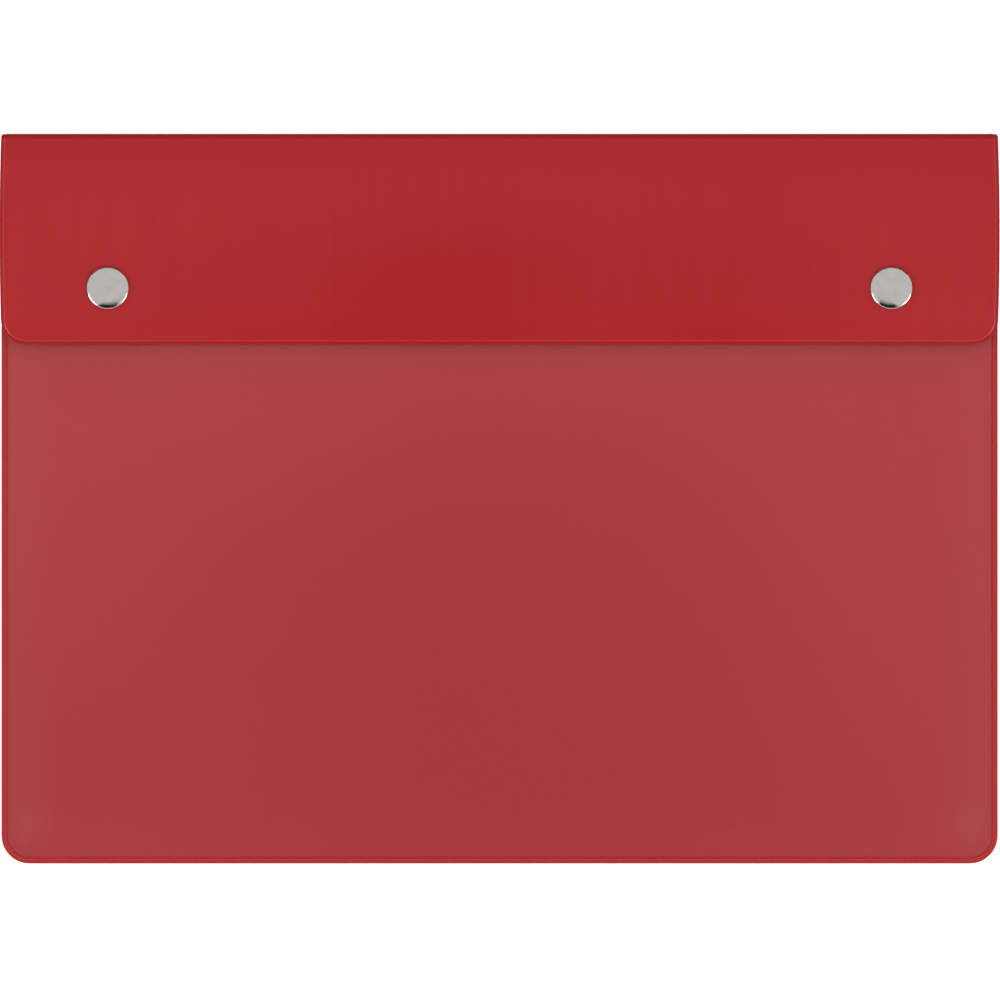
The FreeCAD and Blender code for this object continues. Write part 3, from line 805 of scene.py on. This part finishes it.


# %% [markdown]
# ### Cover and lining vinyl
# The outer sheet is a deep red calendered vinyl with a soft satin shine. The red comes from inside the
# sheet, so its green and blue are nearly nothing, and what greys it in daylight is the shine on top. That
# grey is also painted in: the colour is paler towards the sides than in an oval round the stud row, a
# painted reflection of a sheen that the middle misses. The weld's ridge has a thin coat of its own and a
# paler colour, a painted highlight. The rim, the bead and the folds are painted darker, painted shade. The
# inner sheet's vinyl is made by the same steps, a little darker and duller.


# %% Vinyl finishes
def vinyl(name, colours, least_sheen_at, flatten, roughness, ior_level, grain_depth):
    """Satin vinyl. The colour is deep in an oval round the place least_sheen_at of the flat cut and paler
    further out, a painted reflection of the sheen that the sides catch and the middle misses, moved about by
    clouds and streaks. The weld's bands and the folds each have a colour of their own: painted shade at the
    rim, the bead and along the folds, a painted highlight on the ridge. flatten squeezes the oval along the
    cut. The coat lies on the ridge only."""
    material, tree, shader = new_finish(name, {"Coat Roughness": 0.22}, roughness, 0.0, ior_level)
    plan = put(tree, "ShaderNodeAttribute", {"attribute_name": "cut_plan"}).outputs["Vector"]
    fold_shade = put(tree, "ShaderNodeSeparateXYZ", Vector=plan).outputs["Z"]
    # Painted reflection: the colour is deep round the oval's middle and paler away from it.
    oval = put(tree, "ShaderNodeMapping", Vector=plan,
               Location=(0, -least_sheen_at * flatten, 0), Scale=(1, flatten, 0))
    away = put(tree, "ShaderNodeVectorMath", {"operation": "LENGTH"}, i0=oval.outputs[0])
    to_side = ramp(tree, away.outputs["Value"], 0.02, 0.15)
    cloud_here = use(tree, clouds, Where=plan, Per_metre=9.0).outputs[0]
    streak_here = use(tree, streaks, Where=plan, Strength=0.5).outputs[0]
    bands = use(tree, weld_bands)
    share = maths(tree, "MULTIPLY_ADD", to_side, 0.6, streak_here)
    share = maths(tree, "MULTIPLY_ADD", cloud_here, 0.3, share)
    colour = mix_colour(tree, share, colours["deep"], colours["painted_sheen"])
    # Painted shade at the rim, the bead and the folds, and a painted highlight on the ridge.
    for mask, amount, label in ((bands.outputs["Track"], 0.8, "track"), (bands.outputs["Bead"], 0.8, "bead"),
                                (bands.outputs["Ridge"], 0.7, "ridge"), (bands.outputs["Rim"], 0.7, "rim"),
                                (fold_shade, 1.0, "fold")):
        colour = mix_colour(tree, maths(tree, "MULTIPLY", mask, amount), colour, colours[label])
    tree.links.new(colour, shader.inputs["Base Color"])
    shine = maths(tree, "MULTIPLY_ADD", cloud_here, 0.06, roughness - 0.03)
    shine = maths(tree, "SUBTRACT", shine, maths(tree, "MULTIPLY", bands.outputs["Track"], 0.1))
    tree.links.new(shine, shader.inputs["Roughness"])
    polished = maths(tree, "MULTIPLY", bands.outputs["Ridge"], 0.8)
    tree.links.new(polished, shader.inputs["Coat Weight"])
    bump(tree, shader, use(tree, grain, Where=plan).outputs[0], grain_depth)
    return material


# Here and in the lining's colours: the paler side colour is a painted reflection; the rim, bead and fold
# colours are painted shade; the ridge colour is a painted highlight.
COVER_COLOURS = {
    "deep": (0.296, 0.0018, 0.0038), "painted_sheen": (0.318, 0.0088, 0.0103), "track": (0.290, 0.0015, 0.0035),
    "bead": (0.270, 0.0040, 0.0050), "ridge": (0.410, 0.0100, 0.0130), "fold": (0.240, 0.0005, 0.0010),
    "rim": (0.150, 0.0060, 0.0060),
}
LINING_COLOURS = {
    "deep": (0.275, 0.0030, 0.0045), "painted_sheen": (0.300, 0.0075, 0.0090), "track": (0.270, 0.0030, 0.0045),
    "bead": (0.250, 0.0040, 0.0050), "ridge": (0.300, 0.0070, 0.0090), "fold": (0.240, 0.0020, 0.0030),
    "rim": (0.200, 0.0040, 0.0050),
}
cover_vinyl = vinyl("cover vinyl", COVER_COLOURS, least_sheen_at=stud_v, flatten=3.5,
                    roughness=0.40, ior_level=0.28, grain_depth=0.010 * MM)
lining_vinyl = vinyl("lining vinyl", LINING_COLOURS, least_sheen_at=58 * MM, flatten=1.0,
                     roughness=0.52, ior_level=0.30, grain_depth=0.016 * MM)

# %% [markdown]
# ### Pocket film
# The film is clear vinyl with a matt skin: it lets the red behind it through and lays a thin pale haze
# over it. The haze is painted thinner and darker in an oval in the middle and low down, a painted shade
# where the middle misses the reflection that the sides catch, and paler up towards the mouth. A thin
# scattering layer is well told by a low alpha and a pale colour of its own. In the weld's track and at the
# rim the two sheets are one, so there the film is denser, and it is painted dark: painted shade in the
# groove and on the rounded edge.

# %% Film finish
# The darker haze in the middle, the track and the rim colours are painted shade.
FILM_COLOURS = {
    "haze": (0.47, 0.063, 0.075), "cloudy": (0.51, 0.084, 0.098), "mouth": (0.68, 0.125, 0.135),
    "painted_middle_shade": (0.47, 0.045, 0.054), "track": (0.31, 0.008, 0.018), "bead": (0.72, 0.036, 0.023),
    "rim": (0.20, 0.016, 0.016),
}
open_alpha, fused_alpha = 0.18, 0.3
film_finish, film_tree, film_shader = new_finish("pocket film", {}, roughness=0.42)
film_plan = put(film_tree, "ShaderNodeAttribute", {"attribute_name": "cut_plan"}).outputs["Vector"]
film_cloud = use(film_tree, clouds, Where=film_plan, Per_metre=7.0).outputs[0]
film_streak = use(film_tree, streaks, Where=film_plan, Strength=0.25).outputs[0]
film_bands = use(film_tree, weld_bands, Bead_ends=1.7, Track_ends=2.3)
haze_share = maths(film_tree, "ADD", maths(film_tree, "MULTIPLY", film_cloud, 0.6), film_streak)
haze = mix_colour(film_tree, haze_share, FILM_COLOURS["haze"], FILM_COLOURS["cloudy"])
film_y = put(film_tree, "ShaderNodeSeparateXYZ", Vector=film_plan).outputs["Y"]
up_the_pocket = maths(film_tree, "MULTIPLY", ramp(film_tree, film_y, -0.14, 0.07), 0.5)
haze = mix_colour(film_tree, up_the_pocket, haze, FILM_COLOURS["mouth"])
# Painted shade: the haze is darker in an oval in the middle and low down.
from_middle = put(film_tree, "ShaderNodeVectorMath", {"operation": "DISTANCE"},
                  i0=film_plan, i1=(0.0, -0.075, 0.0))
painted_middle_shade = ramp(film_tree, from_middle.outputs["Value"], 0.03, 0.17, 1.0, 0.0)
haze = mix_colour(film_tree, maths(film_tree, "MULTIPLY", painted_middle_shade, 0.75), haze, FILM_COLOURS["painted_middle_shade"])
# Track and rim: painted shade in the weld's groove and on the rounded edge.
for band in ("Track", "Bead", "Rim"):
    haze = mix_colour(film_tree, film_bands.outputs[band], haze, FILM_COLOURS[band.lower()])
film_tree.links.new(haze, film_shader.inputs["Base Color"])
fused = maths(film_tree, "MAXIMUM", film_bands.outputs["Track"], film_bands.outputs["Rim"])
film_alpha = maths(film_tree, "MULTIPLY_ADD", fused, fused_alpha, open_alpha)
film_tree.links.new(film_alpha, film_shader.inputs["Alpha"])

# %% [markdown]
# ### Metals
# The caps are nickel over brass, polished: a slightly warm grey mirror with fine hair lines. The parts
# inside the stud are plated steel, duller, and the springs are bare drawn wire.


# %% Metal finishes
def metal(name, colour, worn_colour, roughness, mark_depth):
    """Plated metal: hair lines as a fine bump, smudges that dull it a little."""
    material, tree, shader = new_finish(name, {}, roughness, 1.0)
    place = put(tree, "ShaderNodeTexCoord").outputs["Object"]
    marks = use(tree, polish, Where=place, Strength=1.0)
    dull = marks.outputs["Dull"]
    tree.links.new(mix_colour(tree, dull, colour, worn_colour), shader.inputs["Base Color"])
    tree.links.new(maths(tree, "MULTIPLY_ADD", dull, 0.05, roughness), shader.inputs["Roughness"])
    bump(tree, shader, marks.outputs["Height"], mark_depth)
    return material


bright_nickel = metal("bright nickel", (0.65, 0.63, 0.59), (0.60, 0.58, 0.54), 0.08, 0.001 * MM)
plated_steel = metal("plated steel", (0.60, 0.59, 0.57), (0.52, 0.51, 0.49), 0.24, 0.004 * MM)
spring_steel = metal("spring steel", (0.42, 0.42, 0.43), (0.33, 0.32, 0.32), 0.30, 0.004 * MM)

# %% [markdown]
# ## Dress the pieces
# Each new piece gets its finish, its slot, the CAD pieces that it stands for, and a body to ride on. The
# folded sheets bend between two bodies: the bend starts a little before the crease and ends a little
# after it, because vinyl that is folded over a soft crease takes up the turn over more than the crease
# itself.

# %% Finishes and stand-ins
DRESSED = [
    (outer_back, cover_vinyl, "cover_vinyl", ("back_cover", "lower_crease_cover", "spine_cover")),
    (outer_flap, cover_vinyl, "cover_vinyl", ("flap_cover", "upper_crease_cover")),
    (inner_back, lining_vinyl, "lining_vinyl", ("back_lining", "lower_crease_lining", "spine_lining")),
    (inner_flap, lining_vinyl, "lining_vinyl", ("flap_lining", "upper_crease_lining")),
    (pocket_film, film_finish, "front_film", ("pocket_front",)),
    (mouth_band, cover_vinyl, "cover_vinyl", ("mouth_strip",)),
    (stud_caps["left"], bright_nickel, "bright_nickel", ("cap_shell_left",)),
    (stud_caps["right"], bright_nickel, "bright_nickel", ("cap_shell_right",)),
]
for piece, finish, slot_name, stood_for in DRESSED:
    piece.data.materials.append(finish)
    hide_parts(*stood_for)

for node_name, node in frame["nodes"].items():
    if node_name.startswith(("cap_post", "socket", "stud")):
        node.data.materials.clear()
        node.data.materials.append(plated_steel)
    elif node_name.startswith("spring_wire"):
        node.data.materials.clear()
        node.data.materials.append(spring_steel)

# %% Bodies and bends
past_bend = 1.5 * MM
lower_pivot, upper_pivot = joint_at["spine_fold"], joint_at["flap_fold"]
spine_face_y = crease_y + crease_radius
for piece in (outer_back, inner_back):
    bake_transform(piece, "root", "spine",
             start=(0, crease_y - past_bend, lower_pivot[2] - crease_radius),
             end=(0, spine_face_y, lower_pivot[2] + past_bend))
for piece in (outer_flap, inner_flap):
    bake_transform(piece, "spine", "flap",
             start=(0, spine_face_y, upper_pivot[2] - past_bend),
             end=(0, crease_y - past_bend, upper_pivot[2] + crease_radius))
for piece in (pocket_film, mouth_band):
    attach(piece, "root")
for piece in stud_caps.values():
    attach(piece, "flap")

# %% [markdown]

# %% [markdown]
# ## Floor, light and camera
# The case lies on a white table under a white tent. The table glows a little, so that its ground stays
# clean. Two big soft boxes stand at the front corners: the case is nearly flat, so only the weld's ridges
# and the rolled edges tilt far enough to catch them, and they draw the thin pale lines along the rims. A
# third box only fills and isn't reflected. Three cards are there only to be reflected: a dark one in
# front draws the crescent at the caps' near edge, a grey one along its near side softens the crescent's
# end, and a dark one beyond the fold keeps the fold dark.


# %% Table, cards and soft boxes
def stage_card(name, corners, colour, glow=0.0, only_reflected=False):
    """A flat four-sided card on the stage. One that is only reflected casts no shade and isn't seen."""
    mesh = bpy.data.meshes.new(name)
    mesh.from_pydata(corners, [], [(0, 1, 2, 3)])
    card = bpy.data.objects.new(name, mesh)
    bpy.context.scene.collection.objects.link(card)
    material, _, shader = new_finish(name + " finish", {"Emission Strength": glow}, 0.9, 0.0, 0.0)
    shader.inputs["Base Color"].default_value = (colour, colour, colour, 1.0)
    shader.inputs["Emission Color"].default_value = (1.0, 1.0, 1.0, 1.0)
    mesh.materials.append(material)
    if only_reflected:
        card.visible_camera = card.visible_diffuse = card.visible_shadow = False


def soft_box(name, place, size, power):
    """A rectangular area light at place that looks at the case."""
    light = bpy.data.lights.new(name, "AREA")
    light.shape = "RECTANGLE"
    light.size, light.size_y = size
    light.energy = power
    lamp = bpy.data.objects.new(name, light)
    bpy.context.scene.collection.objects.link(lamp)
    lamp.location = place
    lamp.rotation_euler = (-lamp.location).to_track_quat("-Z", "Y").to_euler()
    return lamp


table_z = cad_low.z - 0.05 * MM
stage_card("table", [(-8, -8, table_z), (8, -8, table_z), (8, 8, table_z), (-8, 8, table_z)], 0.93, 0.5)
stage_card("front_card", [(-0.60, -0.78, 4), (0.42, -0.78, 4), (2.0, -4.4, 4), (-2.9, -4.4, 4)], 0.01,
           only_reflected=True)
stage_card("front_card_fade", [(-0.34, -0.46, 4), (0.20, -0.46, 4), (0.42, -0.78, 4), (-0.60, -0.78, 4)],
           0.30, only_reflected=True)
stage_card("far_card", [(-3, 2.4, 0), (3, 2.4, 0), (3, 2.4, 2.0), (-3, 2.4, 2.0)], 0.05,
           only_reflected=True)
soft_box("left_soft_box", (-1.75, -1.1, 1.2), (1.2, 2.0), 26.0)
soft_box("right_soft_box", (1.75, -1.1, 1.2), (1.2, 2.0), 24.0)
soft_box("fill_box", (0.0, 0.9, 3.0), (2.6, 1.2), 22.0).visible_glossy = False

tent = bpy.data.worlds.new("tent")
tent.use_nodes = True
tent_light = tent.node_tree.nodes["Background"]
tent_light.inputs["Color"].default_value = (0.75, 0.75, 0.75, 1.0)
tent_light.inputs["Strength"].default_value = 1.0
bpy.context.scene.world = tent
bpy.context.scene.view_settings.view_transform = "Standard"
bpy.context.scene.view_settings.look = "None"

# %% [markdown]
# ### Camera
# The camera looks straight down from well above with a long lens, so that the outline stays true and the
# thin sides aren't seen.

# %% Camera
camera_height = 8.0
seen_width = 0.3564
sensor_width = 36.0
aim_x, aim_y = 0.15 * MM, -0.45 * MM
camera_data = bpy.data.cameras.new("overhead")
camera_data.sensor_width = sensor_width
camera_data.lens = sensor_width * camera_height / seen_width
camera_data.clip_end = 50.0
camera = bpy.data.objects.new("overhead", camera_data)
camera.location = (aim_x, aim_y, camera_height)
bpy.context.scene.collection.objects.link(camera)
bpy.context.scene.camera = camera
